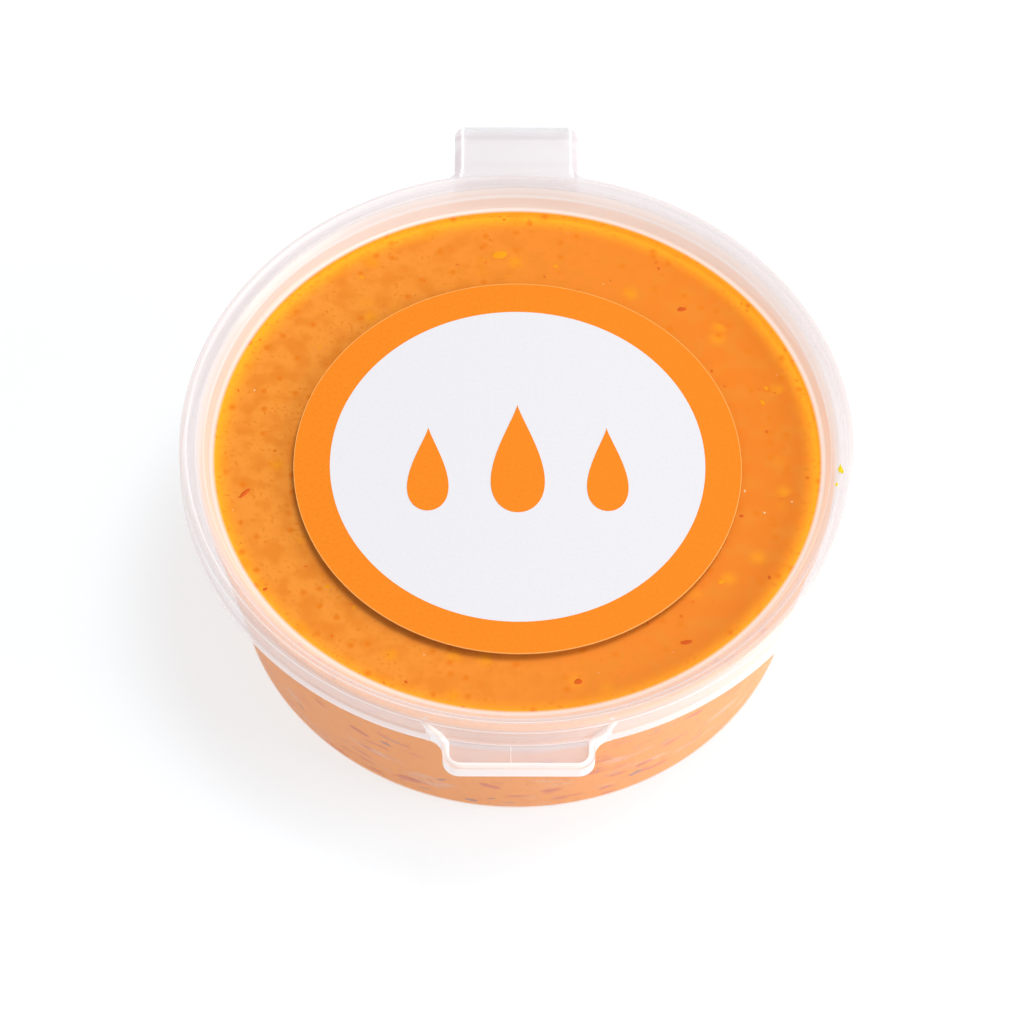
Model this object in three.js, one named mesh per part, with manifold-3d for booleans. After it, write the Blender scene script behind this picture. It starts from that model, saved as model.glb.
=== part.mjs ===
// A shallow round portion pot of milky plastic, filled with sauce and shut with its own hinged lid.
// Millimetres, +Z up. The origin is the centre of the base's underside, the lift tab faces -Y
// and the folded hinge strap faces +Y.

import * as THREE from 'three';
import { mergeVertices } from 'three/addons/utils/BufferGeometryUtils.js';
import Module from 'manifold-3d';

const wasm = await Module();
wasm.setup();

// Driving dimensions
const overallHeight = 27.75;
const wall = 0.6;               // plastic thickness of lid, tab and hinge
const clearance = 0.3;          // gap kept between pieces that meet
const facets = 72;              // sides of every round
const curveSteps = 4;           // chords of every rounded corner
const spare = 1;                // how far a cutting shape runs past what it cuts

// Lid, from its middle outwards
const panelTop = 24.8;          // flat recessed panel
const panelRadius = 34.2;
const panelRound = 0.4;
const ridgeRadius = 35.05;      // top of the recess wall
const ridgeHeight = 26.5;
const flangeHeight = 27.3;      // flat ring round the recess
const flangeInnerRadius = 35.75;
const flangeOuterRadius = 36.85;
const beadRadius = 37.2;        // crest of the low bead round the flange
const shoulderRadius = 37.65;   // the skirt under the bead's rounded shoulder
const shoulderHeight = 26.6;
const skirtBottom = 23.05;
const skirtRadius = 37.75;      // the skirt's lower band stands a little proud
const skirtBandTop = 24.6;
const skirtWaist = 37.55;
const skirtBandStep = 0.3;
const skirtWall = 0.65;
const grooveRoof = flangeHeight - wall;
const grooveOuterRadius = 37.0; // the groove under the flange takes the pot's rim
const grooveInnerRadius = 35.65;
const grooveRound = 0.4;
const plugFoot = 34.9;          // outside of the recess wall at the panel's underside

// Pot
const baseRadius = 32.2;        // side wall carried down to the floor
const heelRound = 1.1;
const cupWall = 0.7;
const ledgeHeight = 22.1;       // underside of the ledge below the lid's skirt
const ledgeRadius = 37.3;
const wallTopRadius = 35.3;     // side wall where it meets the ledge
const draft = (wallTopRadius - baseRadius) / ledgeHeight;
const rimTop = 26.35;
const rimOuterRadius = 36.7;
const rimInnerRadius = 36.0;
const rimThroatRadius = 35.25;  // inside of the rim beside the lid's panel
const rimThroatHeight = 24.2;

// Sauce and label
const sauceTop = 23.85;
const sauceGap = 0.1;
const labelRadius = 25;
const labelThickness = 0.15;
const labelLift = 0.05;
const labelY = -1.8;

// Lift tab
const tabFront = 40.85;         // from the pot's axis to the tab's straight front edge
const tabHalfWidth = 8.1;
const tabCorner = 1.6;
const tabTop = 24.6;
const tabFlare = 10.8;          // half width where the tab's sides run out into the skirt
const rampFoot = 8.5;           // from here the sides rise to the lid's shoulder

// Hinge strap
const hingeY = 43;              // the fold's axis
const leafTop = 27.7;
const strapHalfWidth = 7.3;
const strapCorner = 2;          // the fold's rounded far corners
const leafFillet = 0.9;
const hingeZ = (leafTop + ledgeHeight) / 2;
const foldRadius = (leafTop - ledgeHeight) / 2;

// Materials
const milky = { roughness: 0.35, metalness: 0, transparent: true, opacity: 0.55 };
const cupPlastic = new THREE.MeshStandardMaterial({ color: 0xf4e4de, ...milky });
const lidPlastic = new THREE.MeshStandardMaterial({ color: 0xf5ecec, ...milky });
const hingePlastic = new THREE.MeshStandardMaterial({ color: 0xefecee, ...milky });
const chiliSauce = new THREE.MeshStandardMaterial({ color: 0xf6942c, roughness: 0.45, metalness: 0 });
const labelPaper = new THREE.MeshStandardMaterial({ color: 0xf98f25, roughness: 0.7, metalness: 0 });

// A solid for joining and cutting, from any closed geometry
function solidOf(geometry) {
  const bare = geometry.clone();
  bare.deleteAttribute('normal');
  bare.deleteAttribute('uv');
  const merged = mergeVertices(bare, 1e-4);
  const corners = merged.index.array;
  const triangles = [];
  for (let i = 0; i < corners.length; i += 3) {
    const [a, b, c] = corners.slice(i, i + 3);
    if (a !== b && b !== c && c !== a) triangles.push(a, b, c);
  }
  return new wasm.Manifold(new wasm.Mesh({
    numProp: 3,
    vertProperties: new Float32Array(merged.attributes.position.array),
    triVerts: new Uint32Array(triangles),
  }));
}

// The geometry of a solid
function geometryOf(solid) {
  const mesh = solid.getMesh();
  const geometry = new THREE.BufferGeometry();
  geometry.setAttribute('position', new THREE.BufferAttribute(mesh.vertProperties, 3));
  geometry.setIndex(new THREE.BufferAttribute(mesh.triVerts, 1));
  geometry.computeVertexNormals();
  return geometry;
}

// A profile of radius and height, turned about the Z axis
function turned(profile) {
  return new THREE.LatheGeometry(profile.getPoints(curveSteps), facets).rotateX(Math.PI / 2);
}

// A plan outline raised from one height to another
function raised(outline, bottom, top) {
  const options = { depth: top - bottom, bevelEnabled: false, curveSegments: curveSteps };
  return new THREE.ExtrudeGeometry(outline, options).translate(0, 0, bottom);
}

// An outline in Y and Z, widened evenly to both sides along X
function widened(outline, halfWidth) {
  const options = { depth: 2 * halfWidth, bevelEnabled: false, curveSegments: 3 * curveSteps };
  const geometry = new THREE.ExtrudeGeometry(outline, options).translate(0, 0, -halfWidth);
  return geometry.rotateY(Math.PI / 2).rotateX(Math.PI / 2);
}

// Y of the front of a circle about the axis
function frontOf(radius, x) {
  return -Math.sqrt(radius * radius - x * x);
}

function cupProfile() {
  const innerBase = baseRadius - cupWall;
  const ledgeTop = ledgeHeight + wall;
  const profile = new THREE.Path();
  profile.moveTo(0, 0);
  profile.lineTo(baseRadius - heelRound, 0);
  profile.quadraticCurveTo(baseRadius, 0, baseRadius + draft * heelRound, heelRound);
  profile.lineTo(wallTopRadius, ledgeHeight);
  profile.lineTo(ledgeRadius, ledgeHeight);
  profile.lineTo(ledgeRadius, ledgeTop);
  profile.lineTo(wallTopRadius + cupWall, ledgeTop);
  profile.lineTo(rimOuterRadius, rimThroatHeight);
  profile.lineTo(rimOuterRadius, rimTop);
  profile.lineTo(rimInnerRadius, rimTop);
  profile.lineTo(rimThroatRadius, rimThroatHeight);
  profile.lineTo(wallTopRadius - cupWall, ledgeHeight);
  profile.lineTo(innerBase + draft * heelRound, cupWall + heelRound);
  profile.quadraticCurveTo(innerBase, cupWall, innerBase - heelRound, cupWall);
  profile.lineTo(0, cupWall);
  return profile;
}

function lidProfile() {
  const beadInside = flangeOuterRadius + (overallHeight - flangeHeight) / 2;
  const profile = new THREE.Path();
  profile.moveTo(0, panelTop - wall);
  profile.lineTo(plugFoot, panelTop - wall);
  profile.lineTo(grooveInnerRadius, grooveRoof - grooveRound);
  profile.lineTo(grooveInnerRadius + grooveRound, grooveRoof);
  profile.lineTo(grooveOuterRadius - grooveRound, grooveRoof);
  profile.lineTo(grooveOuterRadius, grooveRoof - grooveRound);
  profile.lineTo(skirtRadius - skirtWall, skirtBottom);
  profile.lineTo(skirtRadius, skirtBottom);
  profile.lineTo(skirtRadius, skirtBandTop - skirtBandStep);
  profile.lineTo(skirtWaist, skirtBandTop);
  profile.lineTo(shoulderRadius, shoulderHeight);
  profile.quadraticCurveTo(shoulderRadius, overallHeight, beadRadius, overallHeight);
  profile.quadraticCurveTo(beadInside, overallHeight, flangeOuterRadius, flangeHeight);
  profile.lineTo(flangeInnerRadius, flangeHeight);
  profile.lineTo(ridgeRadius, ridgeHeight);
  profile.lineTo(panelRadius + panelRound, panelTop + panelRound);
  profile.quadraticCurveTo(panelRadius + panelRound / 2, panelTop, panelRadius - panelRound, panelTop);
  profile.lineTo(0, panelTop);
  return profile;
}

function sauceProfile() {
  const innerBase = baseRadius - cupWall - sauceGap;
  const floor = cupWall + sauceGap;
  const profile = new THREE.Path();
  profile.moveTo(0, floor);
  profile.lineTo(innerBase - heelRound, floor);
  profile.quadraticCurveTo(innerBase, floor, innerBase + draft * heelRound, floor + heelRound);
  profile.lineTo(wallTopRadius - cupWall - sauceGap, ledgeHeight);
  profile.lineTo(rimThroatRadius - 2 * sauceGap, sauceTop);
  profile.lineTo(0, sauceTop);
  return profile;
}

function labelProfile() {
  const profile = new THREE.Path();
  profile.moveTo(0, 0);
  profile.lineTo(labelRadius, 0);
  profile.lineTo(labelRadius, labelThickness);
  profile.lineTo(0, labelThickness);
  return profile;
}

// Plan of the lift tab: a round-cornered flap whose sides flare into the skirt
function tabOutline(inset) {
  const half = tabHalfWidth - inset;
  const flare = tabFlare - inset;
  const front = inset - tabFront;
  const rootY = frontOf(skirtWaist, half);
  const flareY = frontOf(skirtWaist, flare);
  const outline = new THREE.Shape();
  outline.moveTo(-flare, flareY + 2 * spare);
  outline.lineTo(-flare, flareY);
  outline.quadraticCurveTo(-half, rootY, -half, front + tabCorner);
  outline.quadraticCurveTo(-half, front, tabCorner - half, front);
  outline.lineTo(half - tabCorner, front);
  outline.quadraticCurveTo(half, front, half, front + tabCorner);
  outline.quadraticCurveTo(half, rootY, flare, flareY);
  outline.lineTo(flare, flareY + 2 * spare);
  return outline;
}

// Room above the tab's plate, seen from the front: a flat floor with sides that ramp up
function tabScoop() {
  const over = overallHeight + spare;
  const outline = new THREE.Shape();
  outline.moveTo(-tabFlare, over);
  outline.lineTo(-tabFlare, shoulderHeight);
  outline.quadraticCurveTo(-rampFoot - wall, tabTop, -rampFoot, tabTop);
  outline.lineTo(rampFoot, tabTop);
  outline.quadraticCurveTo(rampFoot + wall, tabTop, tabFlare, shoulderHeight);
  outline.lineTo(tabFlare, over);
  const options = { depth: tabFront + spare, bevelEnabled: false, curveSegments: curveSteps };
  return new THREE.ExtrudeGeometry(outline, options).rotateX(Math.PI / 2);
}

// A plain turned core, for keeping the inside clear of what is joined to the outside
function turnedCore(radius) {
  const profile = new THREE.Path();
  profile.moveTo(0, 0);
  profile.lineTo(radius, 0);
  profile.lineTo(radius, overallHeight + spare);
  profile.lineTo(0, overallHeight + spare);
  return solidOf(turned(profile));
}

function liftTab() {
  const block = solidOf(raised(tabOutline(0), skirtBottom, shoulderHeight));
  const hollow = solidOf(raised(tabOutline(skirtWall), skirtBottom - spare, tabTop - wall));
  const core = turnedCore(skirtWaist - wall / 2);
  return block.subtract(solidOf(tabScoop())).subtract(hollow).subtract(core);
}

// One leaf of the hinge strap, from inside the wall that it grows out of to just short of the fold
function hingeLeaf(wallRadius, bottom) {
  const rootHalfWidth = strapHalfWidth + leafFillet;
  const rootY = -frontOf(wallRadius, rootHalfWidth);
  const endY = hingeY - clearance;
  const outline = new THREE.Shape();
  outline.moveTo(-rootHalfWidth, rootY - 2 * spare);
  outline.lineTo(rootHalfWidth, rootY - 2 * spare);
  outline.lineTo(rootHalfWidth, rootY);
  outline.quadraticCurveTo(strapHalfWidth, rootY, strapHalfWidth, rootY + leafFillet);
  outline.lineTo(strapHalfWidth, endY);
  outline.lineTo(-strapHalfWidth, endY);
  outline.lineTo(-strapHalfWidth, rootY + leafFillet);
  outline.quadraticCurveTo(-strapHalfWidth, rootY, -rootHalfWidth, rootY);
  return solidOf(raised(outline, bottom, bottom + wall));
}

// The U-shaped bend between the two leaves
function foldOutline() {
  const outline = new THREE.Shape();
  outline.moveTo(hingeY, hingeZ - foldRadius);
  outline.absarc(hingeY, hingeZ, foldRadius, -Math.PI / 2, Math.PI / 2, false);
  outline.lineTo(hingeY, hingeZ + foldRadius - wall);
  outline.absarc(hingeY, hingeZ, foldRadius - wall, Math.PI / 2, -Math.PI / 2, true);
  return outline;
}

// Plan of the fold, with its far corners rounded
function foldPlan() {
  const farY = hingeY + foldRadius;
  const outline = new THREE.Shape();
  outline.moveTo(-strapHalfWidth, hingeY - spare);
  outline.lineTo(strapHalfWidth, hingeY - spare);
  outline.lineTo(strapHalfWidth, farY - strapCorner);
  outline.quadraticCurveTo(strapHalfWidth, farY, strapHalfWidth - strapCorner, farY);
  outline.lineTo(strapCorner - strapHalfWidth, farY);
  outline.quadraticCurveTo(-strapHalfWidth, farY, -strapHalfWidth, farY - strapCorner);
  return outline;
}

function foldGeometry() {
  const bend = solidOf(widened(foldOutline(), strapHalfWidth + spare));
  const plan = solidOf(raised(foldPlan(), ledgeHeight - spare, leafTop + spare));
  return geometryOf(bend.intersect(plan));
}

function cupGeometry() {
  const leaf = hingeLeaf(ledgeRadius, ledgeHeight);
  const core = turnedCore(rimOuterRadius - wall / 2);
  return geometryOf(solidOf(turned(cupProfile())).add(leaf.subtract(core)));
}

function lidGeometry() {
  const leaf = hingeLeaf(shoulderRadius, leafTop - wall);
  const core = turnedCore(flangeOuterRadius);
  const shell = solidOf(turned(lidProfile()));
  return geometryOf(shell.add(leaf.subtract(core)).add(liftTab()));
}

function addPiece(group, name, geometry, material) {
  const mesh = new THREE.Mesh(geometry, material);
  mesh.name = name;
  group.add(mesh);
  return mesh;
}

const pot = new THREE.Group();
const lidGroup = new THREE.Group();
pot.add(lidGroup);

addPiece(pot, 'cup', cupGeometry(), cupPlastic);
addPiece(pot, 'sauce', turned(sauceProfile()), chiliSauce);
addPiece(pot, 'hinge_fold', foldGeometry(), hingePlastic);
addPiece(lidGroup, 'lid', lidGeometry(), lidPlastic);
const label = addPiece(lidGroup, 'label', turned(labelProfile()), labelPaper);
label.position.set(0, labelY, panelTop + labelLift);

export default pot;
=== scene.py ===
import math
import random

import bmesh
import bpy
from mathutils import Matrix, Vector


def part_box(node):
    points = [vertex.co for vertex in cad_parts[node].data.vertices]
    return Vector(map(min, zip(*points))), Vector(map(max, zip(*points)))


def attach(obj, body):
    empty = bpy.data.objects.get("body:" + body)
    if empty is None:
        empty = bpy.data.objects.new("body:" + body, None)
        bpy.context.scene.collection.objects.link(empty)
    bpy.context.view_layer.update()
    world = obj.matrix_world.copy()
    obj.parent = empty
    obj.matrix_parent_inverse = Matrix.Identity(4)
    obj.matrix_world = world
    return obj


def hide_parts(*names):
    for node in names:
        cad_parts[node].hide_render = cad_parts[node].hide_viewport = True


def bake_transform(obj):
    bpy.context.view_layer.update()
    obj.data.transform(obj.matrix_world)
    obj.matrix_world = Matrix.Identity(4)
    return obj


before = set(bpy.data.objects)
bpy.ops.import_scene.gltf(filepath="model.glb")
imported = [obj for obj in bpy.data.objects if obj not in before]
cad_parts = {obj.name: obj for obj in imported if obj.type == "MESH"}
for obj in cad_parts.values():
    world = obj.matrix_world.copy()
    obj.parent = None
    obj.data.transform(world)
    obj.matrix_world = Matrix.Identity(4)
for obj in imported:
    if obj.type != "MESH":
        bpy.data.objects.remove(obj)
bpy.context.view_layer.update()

mm = 0.001
lidLow, lidHigh = (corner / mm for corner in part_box("lid"))
_, cupHigh = (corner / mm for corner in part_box("cup"))
_, sauceHigh = (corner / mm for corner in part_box("sauce"))
labelLow, labelHigh = (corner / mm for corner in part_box("label"))
foldLow, foldHigh = (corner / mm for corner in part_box("hinge_fold"))

lidRadius = lidHigh.x        # outside of the skirt
lidTop = lidHigh.z           # crest of the outer bead
skirtFoot = lidLow.z         # lower edge of the skirt
tabFront = -lidLow.y         # straight front edge of the lift tab
ledgeRadius = cupHigh.x      # ledge of the pot, just under the skirt
rimTop = cupHigh.z           # rim of the pot, inside the lid's groove
sauceTop = sauceHigh.z
spinSteps = 400              # facets round every turned piece


# Shared helpers

def colour(code):
    channels = [int(code[i:i + 2], 16) / 255 for i in (0, 2, 4)]
    linear = [c / 12.92 if c <= 0.04045 else ((c + 0.055) / 1.055) ** 2.4 for c in channels]
    return (*linear, 1.0)


def turnedMesh(points, steps=spinSteps):
    # points are radius, height and corner rounding in millimetres, from axis to axis
    bm = bmesh.new()
    corners = [bm.verts.new((radius * mm, 0, height * mm)) for radius, height, _ in points]
    for first, second in zip(corners, corners[1:]):
        bm.edges.new((first, second))
    for vert, (_, _, rounding) in zip(corners, points):
        if rounding:
            bmesh.ops.bevel(bm, geom=[vert], offset=rounding * mm, offset_type="OFFSET",
                            segments=4, profile=0.5, affect="VERTICES", material=-1)
    bmesh.ops.spin(bm, geom=bm.verts[:] + bm.edges[:], axis=(0, 0, 1), cent=(0, 0, 0),
                   angle=2 * math.pi, steps=steps, use_merge=True)
    bmesh.ops.remove_doubles(bm, verts=bm.verts[:], dist=0.002 * mm)
    bmesh.ops.recalc_face_normals(bm, faces=bm.faces[:])
    return bm


def newPiece(name, bm, materials, sharpAngle=40):
    mesh = bpy.data.meshes.new(name)
    bm.to_mesh(mesh)
    bm.free()
    for material in materials:
        mesh.materials.append(material)
    mesh.shade_smooth()
    mesh.set_sharp_from_angle(angle=math.radians(sharpAngle))
    piece = bpy.data.objects.new(name, mesh)
    bpy.context.scene.collection.objects.link(piece)
    return piece


def newMaterial(name):
    material = bpy.data.materials.new(name)
    material.use_nodes = True
    return material, material.node_tree.nodes, material.node_tree.links


def addNode(nodes, kind, label, **values):
    node = nodes.new(kind)
    node.label = label
    for socket, value in values.items():
        node.inputs[socket.replace("_", " ")].default_value = value
    return node


def mixColours(nodes, links, label, factor, first, second):
    mix = nodes.new("ShaderNodeMix")
    mix.label = label
    mix.data_type = "RGBA"
    for socket, value in (("Factor", factor), ("A", first), ("B", second)):
        target = next(s for s in mix.inputs if s.name == socket and s.enabled)
        if isinstance(value, (tuple, float, int)):
            target.default_value = value
        else:
            links.new(value, target)
    return next(s for s in mix.outputs if s.enabled)


def ramp(nodes, links, label, source, low, high):
    node = nodes.new("ShaderNodeMapRange")
    node.label = label
    node.interpolation_type = "SMOOTHSTEP"
    node.inputs["From Min"].default_value = low
    node.inputs["From Max"].default_value = high
    links.new(source, node.inputs["Value"])
    return node.outputs["Result"]


# Camera at the photograph's viewing angle

cameraSet = {
    "azimuth": -0.97,
    "elevation": 56.32,
    "roll": 0.979,
    "distance": 400,
    "target": (-0.63, -7.156, 23.04),
    "lens": 126.46,
}


def makeCamera(s):
    azimuth, elevation, roll = (math.radians(s[key]) for key in ("azimuth", "elevation", "roll"))
    flat = math.cos(elevation)
    back = Vector((math.sin(azimuth) * flat, -math.cos(azimuth) * flat, math.sin(elevation)))
    level = Vector((0, 0, 1)).cross(back).normalized()
    upright = back.cross(level)
    right = level * math.cos(roll) + upright * math.sin(roll)
    up = upright * math.cos(roll) - level * math.sin(roll)
    data = bpy.data.cameras.new("camera")
    data.lens = s["lens"]
    data.sensor_width = 36
    data.clip_start = 0.01
    camera = bpy.data.objects.new("camera", data)
    turn = Matrix((right, up, back)).transposed().to_4x4()
    place = Vector(s["target"]) * mm + back * s["distance"] * mm
    camera.matrix_world = Matrix.Translation(place) @ turn
    bpy.context.scene.collection.objects.link(camera)
    bpy.context.scene.camera = camera


makeCamera(cameraSet)
bpy.context.scene.view_settings.view_transform = "Standard"  # plain colours, as a product picture has
print("camera placed")


# Shader group shared by plastic, sauce, paper and flakes: slow mottle and fine grain

def makeGrainGroup():
    group = bpy.data.node_groups.new("mottle and grain", "ShaderNodeTree")
    nodes, links = group.nodes, group.links
    entry = nodes.new("NodeGroupInput")
    leave = nodes.new("NodeGroupOutput")
    place = nodes.new("ShaderNodeTexCoord")
    for name, scale, detail in (("Mottle", 100.0, 1.0), ("Grain", 2000.0, 1.0)):
        socket = group.interface.new_socket(name + " Scale", in_out="INPUT", socket_type="NodeSocketFloat")
        socket.default_value = scale
        group.interface.new_socket(name, in_out="OUTPUT", socket_type="NodeSocketFloat")
        noise = addNode(nodes, "ShaderNodeTexNoise", name, Detail=detail)
        links.new(place.outputs["Object"], noise.inputs["Vector"])
        links.new(entry.outputs[name + " Scale"], noise.inputs["Scale"])
        links.new(noise.outputs["Fac"], leave.inputs[name])
    return group


grainGroup = makeGrainGroup()


def addGrain(nodes, mottle, grain):
    node = nodes.new("ShaderNodeGroup")
    node.node_tree = grainGroup
    node.inputs["Mottle Scale"].default_value = mottle
    node.inputs["Grain Scale"].default_value = grain
    return node


def addRelief(nodes, links, shader, height, strength, depth):
    bump = addNode(nodes, "ShaderNodeBump", "relief", Strength=strength, Distance=depth * mm)
    links.new(height, bump.inputs["Height"])
    links.new(bump.outputs["Normal"], shader.inputs["Normal"])


# Milky plastic: a thin white haze over what is behind it, denser at a slant

# glow is painted light: an emission in the plastic's own tone that lifts its shaded sides
plasticSet = {
    "pot plastic": {"pale": "fdeee6", "tint": "f9e4da", "haze": 0.17, "slanted": 0.24,
                    "roughness": 0.35, "glow": 0},
    "lid plastic": {"pale": "f6eeee", "tint": "f0e6e6", "haze": 0.42, "slanted": 0.7,
                    "roughness": 0.25, "glow": 0.1},
    # whiter and denser where the plastic is thick, with a painted highlight along those edges
    "thick edge and sheen plastic": {"pale": "ffffff", "tint": "f8f6f8", "haze": 0.6, "slanted": 0.9,
                    "roughness": 0.22, "glow": 0.09},
    "inner plastic": {"pale": "fffafa", "tint": "fdf4f4", "haze": 0.06, "slanted": 0.2,
                      "roughness": 0.3, "glow": 0.05},
    "strap plastic": {"pale": "f4f0f2", "tint": "eee9eb", "haze": 0.5, "slanted": 0.65,
                      "roughness": 0.25, "glow": 0},
    # curl: a darker grey base with a strong painted glow, which lifts the strap's shaded side and holds
    # down its lit side
    "curl plastic": {"pale": "bcb4b6", "tint": "b6adb0", "haze": 0.5, "slanted": 0.6,
                     "roughness": 0.25, "glow": 0.7},
    # tab: greyer, painted shade standing in for the shaded pot wall seen through the plate
    "tab plastic in painted shade": {"pale": "dcd3d5", "tint": "d5cbce", "haze": 0.5, "slanted": 0.7,
                    "roughness": 0.25, "glow": 0},
    "clear panel": {"pale": "f7f4f6", "tint": "f1edf0", "haze": 0.002, "slanted": 0.03,
                    "roughness": 0.12, "glow": 0},
}
slantBlend = 0.25
plasticIor = 1.47


def objectCoords(nodes, links, scale=(1, 1, 1)):
    place = nodes.new("ShaderNodeTexCoord")
    mapping = nodes.new("ShaderNodeMapping")
    mapping.inputs["Scale"].default_value = scale
    links.new(place.outputs["Object"], mapping.inputs["Vector"])
    return mapping.outputs["Vector"]


def fromAxis(nodes, links):
    across = nodes.new("ShaderNodeVectorMath")
    across.operation = "LENGTH"
    links.new(objectCoords(nodes, links, (1, 1, 0)), across.inputs[0])
    return across.outputs["Value"]


def addHaze(nodes, links, shader, slanted):
    # denser at a slant; the haze seen straight on is set by the caller
    slant = addNode(nodes, "ShaderNodeLayerWeight", "slant", Blend=slantBlend)
    haze = addNode(nodes, "ShaderNodeMapRange", "haze", To_Max=slanted)
    links.new(slant.outputs["Facing"], haze.inputs["Value"])
    links.new(haze.outputs["Result"], shader.inputs["Alpha"])
    return haze.inputs["To Min"]


def milkyPlastic(name):
    s = plasticSet[name]
    material, nodes, links = newMaterial(name)
    shader = nodes["Principled BSDF"]
    grain = addGrain(nodes, mottle=70, grain=2200)
    tone = mixColours(nodes, links, "flow clouds", grain.outputs["Mottle"],
                      colour(s["pale"]), colour(s["tint"]))
    links.new(tone, shader.inputs["Base Color"])
    shader.inputs["Roughness"].default_value = s["roughness"]
    shader.inputs["IOR"].default_value = plasticIor
    addHaze(nodes, links, shader, s["slanted"]).default_value = s["haze"]
    if s["glow"]:
        links.new(tone, shader.inputs["Emission Color"])  # painted glow: emission that stands in for light carried along inside the plastic
        shader.inputs["Emission Strength"].default_value = s["glow"]
        material.cycles.emission_sampling = "NONE"
    return material


# Top of the lid's rim: soft rings of white, peach and grey, each set by its distance in from the outside.
# They are painted light: white for painted highlights along its edges, peach for the sauce painted in as
# seen through the plastic, grey for painted shade, lit mostly by a painted glow

paintedRingSet = {
    "rings": [
        (3.92, "fbeee4", 0.0),
        (3.6, "fcf4f0", 0.8),
        (3.36, "fcf2ee", 0.8),
        (3.22, "f8dccc", 0.78),
        (2.86, "f8dccc", 0.78),
        (2.74, "fcf4f0", 0.82),
        (2.58, "f9e6dc", 0.7),
        (2.2, "faeae2", 0.66),
        (1.9, "f0e8ea", 0.52),
        (1.05, "eee7ea", 0.5),
        (0.86, "faf7f8", 0.65),
        (0.55, "f6eeee", 0.45),
        (0.0, "f0dcd8", 0.5),
    ],
    "slanted": 0.85,
    "roughness": 0.25,
    "glow": 0.65,
    # share of the rings' lamp lighting that is swapped for the painted glow
    "inside": 0.7,
}


def paintedRingPlastic(s):
    material, nodes, links = newMaterial("rim plastic with painted rings")
    shader = nodes["Principled BSDF"]
    wide = s["rings"][0][0]
    place = addNode(nodes, "ShaderNodeMapRange", "place on the rim", From_Min=(lidRadius - wide) * mm,
                    From_Max=lidRadius * mm)
    links.new(fromAxis(nodes, links), place.inputs["Value"])
    bands = nodes.new("ShaderNodeValToRGB")
    bands.label = "rings"
    stops = bands.color_ramp.elements
    stops.remove(stops[1])
    for number, (inward, code, haze) in enumerate(s["rings"]):
        stop = stops.new(1 - inward / wide) if number else stops[0]
        stop.color = (*colour(code)[:3], haze)
    links.new(place.outputs["Result"], bands.inputs["Fac"])
    # painted light: the base is mostly darkened and the rings' colour comes back as an emission
    outside = mixColours(nodes, links, "lit from outside", s["inside"],
                         bands.outputs["Color"], (0, 0, 0, 1))
    links.new(outside, shader.inputs["Base Color"])
    links.new(bands.outputs["Color"], shader.inputs["Emission Color"])
    shader.inputs["Emission Strength"].default_value = s["glow"]
    material.cycles.emission_sampling = "NONE"
    links.new(bands.outputs["Alpha"], addHaze(nodes, links, shader, s["slanted"]))
    shader.inputs["Roughness"].default_value = s["roughness"]
    shader.inputs["IOR"].default_value = plasticIor
    return material


# Chili sauce: orange body with a golden edge of painted light and glow, soft spots and, along the wall,
# smeared streaks

sauceSet = {
    "body": "ee9332",
    "deep": "e68524",
    "right": "e87e1c",
    "side": "f8990e",
    # edge, edgeFrom and edgeTo: painted light, golden where light comes in through the clear wall
    "edge": "ffa51a",
    "edgeFrom": 31.6,
    "edgeTo": 34.4,
    "paintedEdgeGlow": 0.25,
    "grain": "e2821c",
    "across": (-0.03, 0.03),
    "swirl": (0.4, 0.68),
    "pulp": (0.56, 0.76),
    "topLayer": (1.2, 0.2),
    "belowTop": (0.6, 2.4),
    "smearing": (1, 1, 3.4),
    "spots": [
        {"label": "gold blobs", "code": "f09418", "scale": 300.0, "few": 0.78,
         "inner": 0.0, "outer": 0.42},
        {"label": "orange spots", "code": "e67a0c", "scale": 560.0, "few": 0.72,
         "inner": 0.04, "outer": 0.34},
    ],
    "streaks": [
        {"label": "pale streaks", "code": "eeac80", "scale": 150.0, "low": 0.57, "high": 0.76},
        {"label": "plum streaks", "code": "c48872", "scale": 210.0, "low": 0.68, "high": 0.8},
        {"label": "rust streaks", "code": "de6c3c", "scale": 230.0, "low": 0.6, "high": 0.74},
    ],
}


wetRoughness = 0.45
wetSpecular = 0.05


def times(nodes, links, first, second):
    node = nodes.new("ShaderNodeMath")
    node.operation = "MULTIPLY"
    links.new(first, node.inputs[0])
    links.new(second, node.inputs[1])
    return node.outputs["Value"]


def addSpots(nodes, links, coords, layer, tone, s):
    cells = addNode(nodes, "ShaderNodeTexVoronoi", s["label"], Scale=s["scale"], Randomness=1.0)
    cells.voronoi_dimensions = "2D"
    links.new(coords, cells.inputs["Vector"])
    dice = nodes.new("ShaderNodeSeparateColor")
    links.new(cells.outputs["Color"], dice.inputs["Color"])
    chosen = ramp(nodes, links, "chosen cells", dice.outputs["Red"], s["few"], s["few"] + 0.12)
    spot = ramp(nodes, links, "spot size", cells.outputs["Distance"], s["outer"], s["inner"])
    mark = times(nodes, links, times(nodes, links, chosen, spot), layer)
    return mixColours(nodes, links, s["label"], mark, tone, colour(s["code"]))


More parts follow.
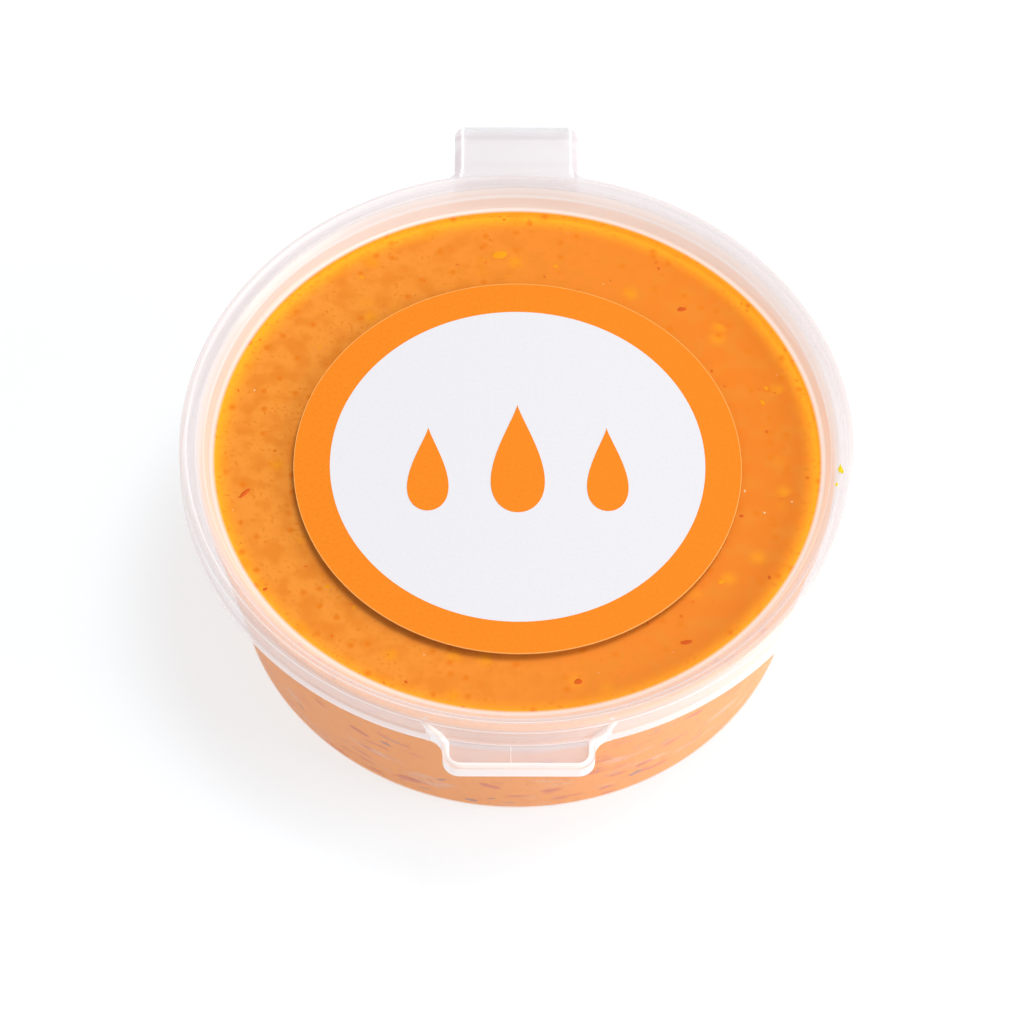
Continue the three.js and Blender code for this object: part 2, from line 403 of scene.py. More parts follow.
def sauceMaterial(s):
    material, nodes, links = newMaterial("chili sauce")
    shader = nodes["Principled BSDF"]
    coords = objectCoords(nodes, links)
    split = nodes.new("ShaderNodeSeparateXYZ")
    links.new(coords, split.inputs["Vector"])
    grain = addGrain(nodes, mottle=420, grain=2400)
    rightward = ramp(nodes, links, "across", split.outputs["X"], *s["across"])
    tone = mixColours(nodes, links, "left to right", rightward, colour(s["body"]), colour(s["right"]))
    swirl = ramp(nodes, links, "swirl edge", grain.outputs["Mottle"], *s["swirl"])
    tone = mixColours(nodes, links, "swirl", swirl, tone, colour(s["deep"]))
    wallward = fromAxis(nodes, links)
    # painted light: the top turns golden towards the wall, where light comes in through the clear plastic
    rim = ramp(nodes, links, "towards the wall", wallward, s["edgeFrom"] * mm, s["edgeTo"] * mm)
    topLayer, belowTop = ([(sauceTop - depth) * mm for depth in s[key]] for key in ("topLayer", "belowTop"))
    upper = ramp(nodes, links, "top layer", split.outputs["Z"], *topLayer)
    lower = ramp(nodes, links, "below the top", split.outputs["Z"], *belowTop)
    golden = times(nodes, links, rim, upper)
    tone = mixColours(nodes, links, "golden edge", golden, tone, colour(s["edge"]))
    tone = mixColours(nodes, links, "side", lower, tone, colour(s["side"]))
    smeared = objectCoords(nodes, links, s["smearing"])
    for streak in s["streaks"]:
        smear = addNode(nodes, "ShaderNodeTexNoise", streak["label"], Scale=streak["scale"], Detail=1.0)
        links.new(smeared, smear.inputs["Vector"])
        mark = ramp(nodes, links, "streak edge", smear.outputs["Fac"], streak["low"], streak["high"])
        tone = mixColours(nodes, links, streak["label"], times(nodes, links, mark, lower), tone,
                          colour(streak["code"]))
    for spots in s["spots"]:
        tone = addSpots(nodes, links, coords, upper, tone, spots)
    pulp = ramp(nodes, links, "pulp edge", grain.outputs["Grain"], *s["pulp"])
    tone = mixColours(nodes, links, "pulp", pulp, tone, colour(s["grain"]))
    links.new(tone, shader.inputs["Base Color"])
    # painted glow: emission at the very edge keeps the golden rim bright in the shade of the lid's rim
    edgeLight = times(nodes, links, golden, golden)
    glow = mixColours(nodes, links, "light in the edge", edgeLight, (0, 0, 0, 1), colour(s["edge"]))
    links.new(glow, shader.inputs["Emission Color"])
    shader.inputs["Emission Strength"].default_value = s["paintedEdgeGlow"]
    material.cycles.emission_sampling = "NONE"
    shader.inputs["Roughness"].default_value = wetRoughness
    shader.inputs["Specular IOR Level"].default_value = wetSpecular
    return material


# Printed paper and the flakes' skins

paperSet = {
    "orange paper": {"code": "f48a1e", "fibre": "e67d16"},
    "white paper": {"code": "e3e2e6", "fibre": "dddce1"},
    "cut paper edge": {"code": "fbbe70", "fibre": "f5b060"},
}


def paperMaterial(name):
    s = paperSet[name]
    material, nodes, links = newMaterial(name)
    shader = nodes["Principled BSDF"]
    grain = addGrain(nodes, mottle=900, grain=2600)
    tone = mixColours(nodes, links, "fibre tone", grain.outputs["Grain"],
                      colour(s["code"]), colour(s["fibre"]))
    links.new(tone, shader.inputs["Base Color"])
    addRelief(nodes, links, shader, grain.outputs["Grain"], strength=0.2, depth=0.04)
    shader.inputs["Roughness"].default_value = 0.7
    shader.inputs["Specular IOR Level"].default_value = 0.15
    return material


def flakeMaterial(name, s):
    material, nodes, links = newMaterial(name)
    shader = nodes["Principled BSDF"]
    grain = addGrain(nodes, mottle=1500, grain=3000)
    tone = mixColours(nodes, links, "skin mottle", grain.outputs["Mottle"],
                      colour(s["code"]), colour(s["dark"]))
    links.new(tone, shader.inputs["Base Color"])
    addRelief(nodes, links, shader, grain.outputs["Grain"], strength=0.2, depth=0.05)
    shader.inputs["Roughness"].default_value = wetRoughness
    shader.inputs["Specular IOR Level"].default_value = wetSpecular
    return material


(wallPlastic, skirtPlastic, thickEdgeSheenPlastic, innerPlastic, strapPlastic, curlPlastic, tabShadePlastic,
 panelPlastic) = (milkyPlastic(name) for name in plasticSet)
paintedRimPlastic = paintedRingPlastic(paintedRingSet)
# slot 0 is a piece's main plastic
thickEdgeSheenSlot, innerSlot, strapSlot, curlSlot, tabShadeSlot, paintedRimSlot, panelSlot = range(1, 8)
chiliSauce = sauceMaterial(sauceSet)
orangePaper, whitePaper, cutPaper = (paperMaterial(name) for name in paperSet)
print("materials mixed")


# Hinge strap: a channel-shaped band from the pot's ledge round the fold to the lid

strapSet = {
    "halfWidth": 7.3,
    "corner": 2.0,
    "thick": 0.6,
    "curl": 0.9,
    "across": 48,
    "along": 100,
    "rootRadius": {-1: ledgeRadius - 0.4, 1: lidRadius - 0.85},
    "fillet": 0.9,
    "bendY": foldLow.y,
    "overlap": 0.04,
    "sheenEdge": 0.22,
    "seatY": lidRadius - 0.1,
    "seatDepth": 2.0,
    "seatHeight": 1.0,
}


def strapBand(s):
    # the outer face of the whole band, as an open sheet
    radius = (foldHigh.z - foldLow.z) / 2
    middleZ = (foldHigh.z + foldLow.z) / 2
    leaf = s["bendY"] - ledgeRadius
    bend = math.pi * radius
    flat = s["halfWidth"] - s["curl"]
    reach = flat + s["curl"] * math.pi / 2
    bm = bmesh.new()
    bmesh.ops.create_grid(bm, x_segments=s["across"], y_segments=s["along"], size=1)
    for vert in bm.verts:
        run = vert.co.y * (leaf + bend / 2)
        level = math.copysign(1, run)
        turn = max(min(run / radius, math.pi / 2), -math.pi / 2)
        side = abs(vert.co.x) * reach
        curl = max(side - flat, 0) / s["curl"]
        x = min(side, flat) + s["curl"] * math.sin(curl)
        drop = s["curl"] * (1 - math.cos(curl))
        along = max(abs(run) - bend / 2, 0) / leaf
        root = math.sqrt(s["rootRadius"][level] ** 2 - x ** 2)
        y = s["bendY"] + radius * math.cos(turn) - along * (s["bendY"] - root)
        beyond = max(0.0, y - (s["bendY"] + radius - s["corner"])) / s["corner"]
        x -= s["corner"] * (1 - math.sqrt(max(0.0, 1 - beyond ** 2))) * x / s["halfWidth"]
        near = min(max(1 - (math.hypot(x, y) - lidRadius) / s["fillet"], 0), 0.94)
        x += s["fillet"] * (1 - math.sqrt(1 - near ** 2)) * x / s["halfWidth"]
        y -= drop * math.cos(turn)
        z = middleZ + (radius - drop) * math.sin(turn)
        vert.co = Vector((math.copysign(x, vert.co.x), y, z)) * mm
    # each side of the band takes the thick-edge plastic with its painted highlight, and the curl beyond it
    # the curl plastic with its painted glow
    for face in bm.faces:
        side = abs(face.calc_center_median().x) / mm
        face.material_index = int(side > flat - s["sheenEdge"]) + int(side > flat + s["sheenEdge"])
    return bm


def thicken(bm, thick):
    # a wall grown inwards from an outer face
    bmesh.ops.recalc_face_normals(bm, faces=bm.faces[:])
    bmesh.ops.solidify(bm, geom=bm.faces[:], thickness=thick * mm)
    return bm


def cutBand(bm, place, direction):
    bmesh.ops.bisect_plane(bm, geom=bm.verts[:] + bm.edges[:] + bm.faces[:], dist=1e-7,
                           plane_co=Vector(place) * mm, plane_no=direction, clear_inner=True)


def strapFold(s):
    bm = strapBand(s)
    cutBand(bm, (0, s["bendY"] - s["overlap"], 0), (0, 1, 0))
    return thicken(bm, s["thick"])


def strapLeaf(s, level):
    bm = strapBand(s)
    cutBand(bm, (0, s["bendY"], 0), (0, -1, 0))
    cutBand(bm, (0, 0, (foldLow.z + foldHigh.z) / 2), (0, 0, level))
    thicken(bm, s["thick"])
    for face in bm.faces:
        face.material_index = (strapSlot, thickEdgeSheenSlot, curlSlot)[face.material_index]
    return bm


def joinSolids(piece, tools):
    # one closed skin: every tool is united with the piece or cut out of it
    for operation, bm in tools:
        bmesh.ops.recalc_face_normals(bm, faces=bm.faces[:])
        tool = newPiece("tool", bm, piece.data.materials[:])
        change = piece.modifiers.new("join", "BOOLEAN")
        change.operation = operation
        change.solver = "MANIFOLD"
        change.object = tool
        graph = bpy.context.evaluated_depsgraph_get()
        mesh = bpy.data.meshes.new_from_object(piece.evaluated_get(graph))
        piece.modifiers.clear()
        piece.data = mesh
        bpy.data.objects.remove(tool)
    piece.data.set_sharp_from_angle(angle=math.radians(40))


# Pot: tapered wall, ledge under the skirt and the rim inside the lid's groove

potSet = {
    "baseRadius": 32.2,
    "heel": 1.0,
    "wall": 0.7,
    "ledgeUnder": foldLow.z,
    "ledgeThick": 0.6,
    "wallTopRadius": 35.3,
    "throatHeight": 24.2,
    "throatRadius": 35.25,
    "rimOuter": 36.7,
    "rimInner": 36.0,
}


def makePot(s):
    ledgeOver = s["ledgeUnder"] + s["ledgeThick"]
    points = [
        (0, 0, 0),
        (s["baseRadius"], 0, s["heel"]),
        (s["wallTopRadius"], s["ledgeUnder"], 0.25),
        (ledgeRadius, s["ledgeUnder"], 0.2),
        (ledgeRadius, ledgeOver, 0.2),
        (s["wallTopRadius"] + s["wall"], ledgeOver, 0.2),
        (s["rimOuter"], s["throatHeight"], 0.3),
        (s["rimOuter"], rimTop, 0.25),
        (s["rimInner"], rimTop, 0.25),
        (s["throatRadius"], s["throatHeight"], 0.3),
        (s["wallTopRadius"] - s["wall"], s["ledgeUnder"], 0.3),
        (s["baseRadius"] - s["wall"], s["wall"], s["heel"]),
        (0, s["wall"], 0),
    ]
    bm = turnedMesh(points)
    for face in bm.faces:
        middle = face.calc_center_median()
        inward = face.normal.xy.dot(middle.xy) < 0
        if inward or middle.z > (ledgeOver - 0.1) * mm:
            face.material_index = innerSlot
    return newPiece("pot_wall", bm, [wallPlastic, thickEdgeSheenPlastic, innerPlastic, strapPlastic, curlPlastic])


potWall = makePot(potSet)
joinSolids(potWall, [("UNION", strapLeaf(strapSet, -1))])
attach(potWall, "cup")
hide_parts("cup")
print("pot turned")


# Sauce: fills the pot just into the wall, up to its level

fillSet = {"into": 0.6, "meniscus": 0.25}


def makeSauce(s, pot):
    reach = s["into"]
    floor = pot["wall"] - reach
    points = [
        (0, floor, 0),
        (pot["baseRadius"] - pot["wall"] + reach, floor, pot["heel"]),
        (pot["wallTopRadius"] - pot["wall"] + reach, pot["ledgeUnder"], 0),
        (pot["throatRadius"] + reach - s["meniscus"], sauceTop, s["meniscus"]),
        (0, sauceTop, 0),
    ]
    return newPiece("sauce_fill", turnedMesh(points), [chiliSauce])


sauceFill = makeSauce(fillSet, potSet)
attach(sauceFill, "cup")
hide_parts("sauce")
print("sauce poured")


# Flakes of chili, skin and seed at the sauce's surface and along the wall

flakeKinds = {
    "red_flakes": {"code": "d05010", "dark": "dc6414", "top": 24, "wall": 20,
                   "size": (0.15, 0.38), "slim": 0.6},
    "orange_flakes": {"code": "e0680a", "dark": "e87c10", "top": 210, "wall": 70,
                      "size": (0.08, 0.34), "slim": 0.65},
    "gold_flakes": {"code": "f29604", "dark": "f49e06", "top": 30, "wall": 16,
                    "size": (0.15, 0.5), "slim": 0.6},
    "dark_specks": {"code": "c05e0e", "dark": "cc6c10", "top": 50, "wall": 24,
                    "size": (0.06, 0.14), "slim": 0.8},
    "pale_seeds": {"code": "f6d0a0", "dark": "eebc84", "top": 14, "wall": 6,
                   "size": (0.08, 0.14), "slim": 0.6},
    "rust_skins": {"code": "da6a3c", "dark": "e48454", "top": 0, "wall": 18,
                   "size": (0.5, 1.7), "slim": 0.36},
    "plum_skins": {"code": "ac7470", "dark": "bc887e", "top": 0, "wall": 3,
                   "size": (0.35, 0.9), "slim": 0.32},
}
flakeSeed = 4127
flakeFlat = {"top": 0.14, "wall": 0.05}
flakeSink = 0.05             # share of a flake's size that lies below the sauce's level
flakeWrinkle = (0.82, 1.15)
flakeSlimness = (0.8, 1.2)
flakeTilt = 0.5
flakeMargin = 1.6            # kept clear of flakes at the sauce's edge
flakeBand = (1.8, 20.5)      # heights of the flakes along the wall
shownOnTop = {
    "red_flakes": [(-30.4, -5.3, 0.9, 0.3, 48), (19.0, 20.5, 0.65, 0.6, 5), (18.2, -24.6, 0.7, 0.6, 12),
                   (6.4, -29.6, 0.55, 0.7, 8)],
    "gold_flakes": [(-2.0, 28.3, 0.95, 0.7, 10)],
    "pale_seeds": [(30.5, -6.2, 0.15, 0.8, 0), (27.4, -7.7, 0.15, 0.8, 40), (25.3, -4.8, 0.24, 0.5, 80),
                   (-29.8, 8.8, 0.15, 0.8, 20)],
}
shownOnWall = {
    "rust_skins": [(-121.0, 12.0, 1.4), (-111.7, 3.8, 1.7), (-118.9, 2.2, 0.8), (-64.6, 6.6, 1.2),
                   (-72, 3.2, 0.8)],
    "plum_skins": [(-115.4, 12.0, 0.8), (-104.7, 6.5, 0.65), (-99.1, 2.0, 0.75), (-95, 3.1, 0.5),
                   (-66, 4.6, 0.9)],
}


def addFlake(bm, place, size, slim, flat, turn, dice):
    # a chip with few faces, wrinkled by a random pull on each corner
    made = bmesh.ops.create_icosphere(bm, subdivisions=2, radius=size * mm)
    stretch = Matrix.Diagonal((1, slim * dice.uniform(*flakeSlimness), flat, 1))
    for vert in made["verts"]:
        vert.co *= dice.uniform(*flakeWrinkle)
    spot = Matrix.Translation(Vector(place) * mm)
    bmesh.ops.transform(bm, matrix=spot @ turn @ stretch, verts=made["verts"])


def addTopFlake(bm, x, y, size, slim, angle, dice):
    place = (x, y, sauceTop - flakeSink * size)
    addFlake(bm, place, size, slim, flakeFlat["top"], Matrix.Rotation(angle, 4, "Z"), dice)


def addWallFlake(bm, angle, height, size, slim, dice):
    # lies flat against the wall, its long side round the pot
    low = potSet["baseRadius"] - potSet["wall"] + fillSet["into"]
    high = potSet["wallTopRadius"] - potSet["wall"] + fillSet["into"]
    radius = low + (high - low) * height / potSet["ledgeUnder"]
    lean = math.atan2(high - low, potSet["ledgeUnder"])
    turn = Matrix.Rotation(angle, 4, "Z") @ Matrix.Rotation(math.pi / 2 + lean, 4, "Y")
    turn = turn @ Matrix.Rotation(math.pi / 2 + dice.uniform(-flakeTilt, flakeTilt), 4, "Z")
    place = (radius * math.cos(angle), radius * math.sin(angle), height)
    addFlake(bm, place, size, slim, flakeFlat["wall"], turn, dice)


def makeFlakes(name, s, number):
    dice = random.Random(flakeSeed + number)
    bm = bmesh.new()
    for x, y, size, slim, turn in shownOnTop.get(name, []):
        addTopFlake(bm, x, y, size, slim, math.radians(turn), dice)
    for angle, height, size in shownOnWall.get(name, []):
        addWallFlake(bm, math.radians(angle), height, size, s["slim"], dice)
    for _ in range(s["top"]):
        radius = (potSet["throatRadius"] - flakeMargin) * math.sqrt(dice.random())
        angle = dice.uniform(0, 2 * math.pi)
        size = min(dice.uniform(*s["size"]), dice.uniform(*s["size"]))
        addTopFlake(bm, radius * math.cos(angle), radius * math.sin(angle), size, s["slim"],
                    dice.uniform(0, math.pi), dice)
    for _ in range(s["wall"]):
        size = min(dice.uniform(*s["size"]), dice.uniform(*s["size"]))
        addWallFlake(bm, dice.uniform(0, 2 * math.pi), dice.uniform(*flakeBand), size, s["slim"], dice)
    return newPiece(name, bm, [flakeMaterial(name, s)])


for number, (name, settings) in enumerate(flakeKinds.items()):
    flakes = makeFlakes(name, settings, number)
    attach(flakes, "cup")
print("flakes stirred in")


# Lid: recessed clear panel, flange, outer bead and skirt, with the lift tab

lidSet = {
    "panel": lidTop - 2.95,
    "thick": 0.6,
    "panelRadius": lidRadius - 3.35,
    "ridgeRadius": lidRadius - 2.7,
    "ridge": lidTop - 1.25,
    "flangeInner": lidRadius - 2.0,
    "flangeOuter": lidRadius - 0.95,
    "flange": lidTop - 0.45,
    "waist": lidRadius - 0.2,
    "bandTop": skirtFoot + 1.55,
    "skirtWall": 0.65,
    "plugRadius": lidRadius - 2.85,
    "grooveInner": (lidRadius - 2.1, lidRadius - 1.7),
    "grooveOuter": (lidRadius - 1.15, lidRadius - 0.75),
    "grooveSlope": 0.4,
    "whiteFoot": 0.3,
    "shoulderHighlight": (lidTop - 1.3, lidTop - 0.95),
}


def makeLidShell(s):
    under = s["panel"] - s["thick"]
    roof = s["flange"] - s["thick"]
    rimFrom = lidRadius - paintedRingSet["rings"][0][0]
    points = [
        (0, under, 0),
        (s["plugRadius"], under, 0.3),
        (s["grooveInner"][0], roof - s["grooveSlope"], 0.25),
        (s["grooveInner"][1], roof, 0.25),
        (s["grooveOuter"][0], roof, 0.2),
        (s["grooveOuter"][1], roof - s["grooveSlope"], 0.2),
        (lidRadius - s["skirtWall"], skirtFoot, 0.15),
        (lidRadius, skirtFoot, 0.2),
        (lidRadius, s["bandTop"] - 0.3, 0.12),
        (s["waist"], s["bandTop"], 0.1),
        (lidRadius - 0.1, s["flange"] - 0.7, 0.3),
        (lidRadius - 0.12, lidTop, 0.42),
        (s["flangeOuter"] + 0.12, lidTop, 0.15),
        (s["flangeOuter"], s["flange"], 0.1),
        (s["flangeInner"], s["flange"], 0.25),
        (s["ridgeRadius"], s["ridge"], 0.4),
        (s["panelRadius"] + 0.12, s["panel"], 0.35),
        (rimFrom, s["panel"], 0),
        (0, s["panel"], 0),
    ]
    bm = turnedMesh(points)
    for face in bm.faces:
        middle = face.calc_center_median() / mm
        radius = middle.xy.length
        outward = face.normal.xy.dot(middle.xy.normalized())
        # the shoulder band is a painted highlight line, the foot is whiter where the plastic is thick and
        # carries a painted highlight, and the top of the rim takes the painted rings
        if radius < rimFrom:
            face.material_index = panelSlot
        elif middle.z < skirtFoot + s["whiteFoot"]:
            face.material_index = thickEdgeSheenSlot
        elif outward > 0.5:
            shoulderLow, shoulderHigh = s["shoulderHighlight"]
            face.material_index = thickEdgeSheenSlot if shoulderLow < middle.z < shoulderHigh else 0
        else:
            face.material_index = innerSlot if face.normal.z < 0.1 else paintedRimSlot
    return newPiece("lid_shell", bm, [skirtPlastic, thickEdgeSheenPlastic, innerPlastic, strapPlastic, curlPlastic,
                                      tabShadePlastic, paintedRimPlastic, panelPlastic])


lidShell = makeLidShell(lidSet)
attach(lidShell, "lid")
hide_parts("lid")
print("lid turned")


# Lift tab: a hollow flap with a turned-down lip, a sunken plate and sides that sweep up to the shoulder

tabSet = {
    "halfWidth": 8.1,
    "flare": 9.9,
    "corner": 1.8,
    "knee": 1.5,
    "rootRadius": lidRadius - 0.35,
    "top": skirtFoot + 1.55,
    "thick": 0.6,
    "lip": 0.7,
    "bead": 0.45,
    "beadEnds": [(0.3, 0.8), (0.6, 0.8)],
    "rampFoot": 7.9,
    "rampTop": lidTop - 1.2,
    "rampPower": 1.2,
    "rampSteps": 8,
    "sink": 0.16,
    "trayRoot": lidRadius + 0.3,
    "mouldLine": -0.85,
    "mouldAhead": 1.4,
    "mouldSize": (0.06, 3.0, 0.06),
}


def arcPoints(radius, half, steps):
    # front of a circle about the axis, from +half to -half
    spots = [half * (1 - 2 * step / steps) for step in range(steps + 1)]
    return [(x, -math.sqrt(radius ** 2 - x ** 2)) for x in spots]


def planFace(bm, plan, height, roundings):
    corners = [bm.verts.new((x * mm, y * mm, height * mm)) for x, y in plan]
    face = bm.faces.new(corners)
    for number, rounding in roundings:
        bmesh.ops.bevel(bm, geom=[corners[number]], offset=rounding * mm, offset_type="OFFSET", segments=8,
                        profile=0.5, affect="VERTICES", material=-1)
    return face


def pullFaces(bm, faces, rise):
    pulled = bmesh.ops.extrude_face_region(bm, geom=faces)
    verts = [v for v in pulled["geom"] if isinstance(v, bmesh.types.BMVert)]
    bmesh.ops.translate(bm, verts=verts, vec=(0, 0, rise * mm))
    return [f for f in pulled["geom"] if isinstance(f, bmesh.types.BMFace)]


def tabPlan(s, inset):
    # rounded plan of the flap, its corners in order from the left root round the front
    half, flare = s["halfWidth"] - inset, s["flare"] - inset
    front = inset - tabFront
    kneeY = -math.sqrt(lidRadius ** 2 - half ** 2)
    root = arcPoints(s["rootRadius"], flare, 16)
    step = lidRadius - s["rootRadius"]
    plan = [(-flare, root[-1][1] - step), (-half, kneeY), (-half, front), (half, front), (half, kneeY),
            (flare, root[0][1] - step)]
    bm = bmesh.new()
    roundings = [(1, s["knee"]), (2, s["corner"]), (3, s["corner"]), (4, s["knee"])]
    planFace(bm, plan + root, s["top"], roundings)
    return bm


def rampHeight(s, x):
    climb = min(max((abs(x) - s["rampFoot"]) / (s["flare"] - s["rampFoot"]), 0), 1)
    return climb ** s["rampPower"] * (s["rampTop"] - s["top"])


def makeTabBlock(s):
    bm = tabPlan(s, 0)
    pullFaces(bm, bm.faces[:], skirtFoot - s["top"])
    bmesh.ops.recalc_face_normals(bm, faces=bm.faces[:])
    for side in (-1, 1):
        for step in range(s["rampSteps"]):
            cut = s["rampFoot"] + (s["flare"] - s["rampFoot"]) * step / s["rampSteps"]
            bmesh.ops.bisect_plane(bm, geom=bm.verts[:] + bm.edges[:] + bm.faces[:], dist=1e-7,
                                   plane_co=(side * cut * mm, 0, 0), plane_no=(1, 0, 0))
    for vert in bm.verts:
        if vert.co.z > (s["top"] - 0.1) * mm:
            vert.co.z += rampHeight(s, vert.co.x / mm) * mm
    # the flap's sides take the thick-edge plastic with its painted highlight
    for face in bm.faces:
        if abs(face.normal.z) < 0.3:
            face.material_index = thickEdgeSheenSlot
    return bm


def makeTabBead(s):
    # a round white bead along the flap's rim, running up to the shoulder on both sides; its plastic is
    # whiter where thick and carries a painted highlight
    bm = tabPlan(s, s["bead"])
    rim = [loop.vert.co / mm for loop in bm.faces[:][0].loops]
    bm.free()
    first = min(range(len(rim)), key=lambda i: (rim[i].x, rim[i].y))
    rim = rim[first:] + rim[:first]
    data = bpy.data.curves.new("bead", "CURVE")
    data.dimensions = "3D"
    data.bevel_depth = s["bead"] * mm
    data.bevel_resolution = 4
    data.use_fill_caps = True
    path = [spot for spot in rim if spot.xy.length > s["rootRadius"] + 0.05]
    for sink, onward in s["beadEnds"]:
        for end, side in ((0, -1), (-1, 1)):
            angle = math.atan2(path[end].x, -path[end].y) + side * math.radians(onward)
            inside = (lidRadius - sink) * Vector((math.sin(angle), -math.cos(angle), 0))
            path.insert(len(path) if end else 0, inside)
    spline = data.splines.new("POLY")
    spline.points.add(len(path) - 1)
    for point, spot in zip(spline.points, path):
        rise = rampHeight(s, spot.x)
        point.co = (spot.x * mm, spot.y * mm, (s["top"] + rise - 0.5 * s["bead"]) * mm, 1)
    tube = bpy.data.objects.new("bead", data)
    bm = bmesh.new()
    bm.from_mesh(tube.to_mesh())
    bpy.data.objects.remove(tube)
    bmesh.ops.remove_doubles(bm, verts=bm.verts[:], dist=0.001 * mm)
    for face in bm.faces:
        face.material_index = thickEdgeSheenSlot
    return bm


def makeHollow(s):
    half = s["halfWidth"] - s["lip"]
    front = tabFront - s["lip"]
    plan = [(-half, -front), (half, -front)] + arcPoints(lidRadius + 0.1, half, 8)
    bm = bmesh.new()
    planFace(bm, plan, skirtFoot - 1, [(0, s["corner"] * 0.6), (1, s["corner"] * 0.6)])
    pullFaces(bm, bm.faces[:], s["top"] - s["thick"] - skirtFoot + 1)
    for face in bm.faces:
        face.material_index = innerSlot
    return bm


def makeTray(s):
    half = s["halfWidth"] - s["lip"]
    front = tabFront - s["lip"]
    plan = [(-half, -front), (half, -front)] + arcPoints(s["trayRoot"], half, 16)
    bm = bmesh.new()
    planFace(bm, plan, s["top"] - s["sink"], [(0, s["corner"] * 0.6), (1, s["corner"] * 0.6)])
    pullFaces(bm, bm.faces[:], 2)
    # the sunken plate takes the greyer plastic of painted shade
    for face in bm.faces:
        face.material_index = tabShadeSlot
    return bm


def makeMouldLine(s):
    bm = bmesh.new()
    middle = Vector((s["mouldLine"], -lidRadius - s["mouldAhead"], s["top"] - s["sink"]))
    place = Matrix.Translation(middle * mm)
    size = Matrix.Diagonal((*(side * mm for side in s["mouldSize"]), 1))
    bmesh.ops.create_cube(bm, size=1, matrix=place @ size)
    # the mould line takes the thick-edge plastic with its painted highlight
    for face in bm.faces:
        face.material_index = thickEdgeSheenSlot
    return bm


def makeStrapSeat(s):
    # where the strap runs over the outer bead, the bead's crest is cut flush with it
    bm = bmesh.new()
    place = Matrix.Translation(Vector((0, s["seatY"], foldHigh.z + s["seatHeight"] / 2)) * mm)
    size = Matrix.Diagonal((2 * s["halfWidth"] * mm, s["seatDepth"] * mm, s["seatHeight"] * mm, 1))
    bmesh.ops.create_cube(bm, size=1, matrix=place @ size)
    for face in bm.faces:
        face.material_index = strapSlot
    return bm


joinSolids(lidShell, [
    ("UNION", strapLeaf(strapSet, 1)),
    ("DIFFERENCE", makeStrapSeat(strapSet)),
    ("UNION", makeTabBlock(tabSet)),
    ("UNION", makeTabBead(tabSet)),
    ("DIFFERENCE", makeHollow(tabSet)),
    ("DIFFERENCE", makeTray(tabSet)),
    ("UNION", makeMouldLine(tabSet)),
])
print("tab joined to the lid")


# Label: a round sticker with an orange ring and a white middle

labelSet = {"discRadius": 21.0, "steps": 160, "cutEdge": 0.06}


def makeLabel(s):
    radius = (labelHigh.x - labelLow.x) / 2
    centre = (labelLow + labelHigh) / 2
    bm = bmesh.new()
    place = Matrix.Translation((centre.x * mm, centre.y * mm, labelLow.z * mm))
    bmesh.ops.create_circle(bm, cap_ends=True, segments=s["steps"], radius=radius * mm, matrix=place)
    raised = bmesh.ops.extrude_face_region(bm, geom=bm.faces[:])
    lifted = [v for v in raised["geom"] if isinstance(v, bmesh.types.BMVert)]
    bmesh.ops.translate(bm, verts=lifted, vec=(0, 0, (labelHigh.z - labelLow.z) * mm))
    bmesh.ops.recalc_face_normals(bm, faces=bm.faces[:])
    top = max(bm.faces, key=lambda f: f.calc_center_median().z)
    underside = min(bm.faces, key=lambda f: f.calc_center_median().z)
    orangeFace, whiteFace, cutFace = range(3)
    for face in bm.faces:
        face.material_index = cutFace
    underside.material_index = whiteFace
    bmesh.ops.inset_region(bm, faces=[top], thickness=s["cutEdge"] * mm, depth=0)
    top.material_index = orangeFace
    ring = bmesh.ops.inset_region(bm, faces=[top], thickness=(radius - s["discRadius"]) * mm, depth=0)
    for face in ring["faces"]:
        face.material_index = orangeFace
    top.material_index = whiteFace
    return newPiece("label_disc", bm, [orangePaper, whitePaper, cutPaper])


labelDisc = makeLabel(labelSet)
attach(labelDisc, "lid")
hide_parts("label")
print("label stuck on")


# Print on the label: three plain drops in the ring's orange

printSet = {
    "thick": 0.02,
    "steps": 72,
    "drops": [(0.0, 0.6, 4.3, 7.3), (-10.0, -0.9, 3.3, 5.6), (10.0, -0.9, 3.3, 5.6)],
    "belly": 1.5,
}


def makePrint(s):
    middle = (labelLow + labelHigh) / 2
    bm = bmesh.new()
    for across, along, half, tall in s["drops"]:
        made = bmesh.ops.create_circle(bm, cap_ends=True, segments=s["steps"], radius=1)
        for vert in made["verts"]:
            turn = math.atan2(vert.co.x, vert.co.y) % (2 * math.pi)
            width = half * math.sin(turn) * math.sin(turn / 2) ** s["belly"]
            rise = tall * math.cos(turn)
            vert.co = Vector((middle.x + across + width, middle.y + along + rise, labelHigh.z)) * mm
    pullFaces(bm, bm.faces[:], s["thick"])
    bmesh.ops.recalc_face_normals(bm, faces=bm.faces[:])
    return newPiece("label_print", bm, [orangePaper])


labelPrint = makePrint(printSet)
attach(labelPrint, "lid")
print("drops printed")


# Smear of sauce on the right of the flange

smearSet = {
    "code": "f0dc38",
    "dark": "e2ca20",
    "slim": 0.6,
    "spots": [(35.7, -4.2, 0.42), (35.9, -4.5, 0.3), (35.75, -3.7, 0.2), (35.2, -6.2, 0.26)],
}


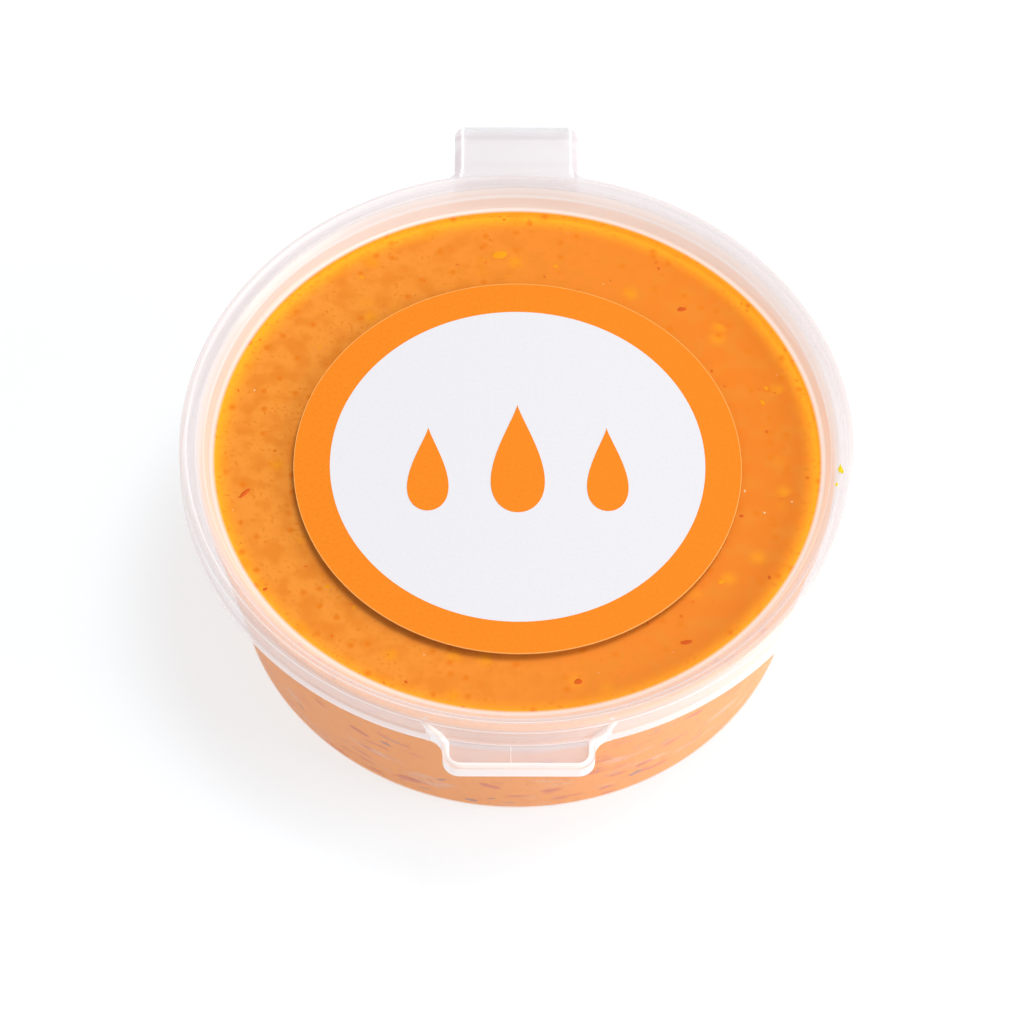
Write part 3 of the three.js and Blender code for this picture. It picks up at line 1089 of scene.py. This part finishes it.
def makeSmear(s):
    dice = random.Random(flakeSeed)
    bm = bmesh.new()
    for x, y, size in s["spots"]:
        turn = Matrix.Rotation(math.atan2(y, x) + math.pi / 2, 4, "Z")
        addFlake(bm, (x, y, lidSet["flange"]), size, s["slim"], flakeFlat["top"], turn, dice)
    return newPiece("sauce_smear", bm, [flakeMaterial("smear", s)])


sauceSmear = makeSmear(smearSet)
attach(sauceSmear, "lid")
print("smear left on the rim")


# Hinge fold: the bend of the strap between the two leaves

hingeFold = newPiece("hinge_strap", strapFold(strapSet), [strapPlastic, thickEdgeSheenPlastic, curlPlastic])
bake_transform(hingeFold)
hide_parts("hinge_fold")
print("strap folded")


# Stage: pale floor and soft studio light

stageSet = {
    "floor": "97a2aa",
    "roughness": 0.8,
    "glow": 0.68,
    "lights": {
        "key": {"place": (190, 90, 690), "size": 320, "power": 2.75},
        "side": {"place": (600, -150, 210), "size": 420, "power": 3.5},
        "front": {"place": (-330, -520, 360), "size": 420, "power": 0.5},
    },
    "sky": "ffffff",
    "skyStrength": 0.42,
}


def makeLight(name, place, size, power):
    data = bpy.data.lights.new(name, "AREA")
    data.energy = power
    data.size = size * mm
    light = bpy.data.objects.new(name, data)
    light.location = Vector(place) * mm
    light.rotation_euler = (-light.location).to_track_quat("-Z", "Y").to_euler()
    bpy.context.scene.collection.objects.link(light)


def makeStage(s):
    bm = bmesh.new()
    bmesh.ops.create_grid(bm, x_segments=1, y_segments=1, size=3)
    material, nodes, _ = newMaterial("pale floor")
    shader = nodes["Principled BSDF"]
    shader.inputs["Base Color"].default_value = colour(s["floor"])
    shader.inputs["Roughness"].default_value = s["roughness"]
    shader.inputs["Emission Color"].default_value = (1, 1, 1, 1)
    shader.inputs["Emission Strength"].default_value = s["glow"]
    material.cycles.emission_sampling = "NONE"
    floor = newPiece("floor", bm, [material])
    for name, light in s["lights"].items():
        makeLight(name, light["place"], light["size"], light["power"])
    world = bpy.data.worlds.new("studio")
    world.use_nodes = True
    sky = world.node_tree.nodes["Background"]
    sky.inputs["Color"].default_value = colour(s["sky"])
    sky.inputs["Strength"].default_value = s["skyStrength"]
    bpy.context.scene.world = world


makeStage(stageSet)
print("stage lit")
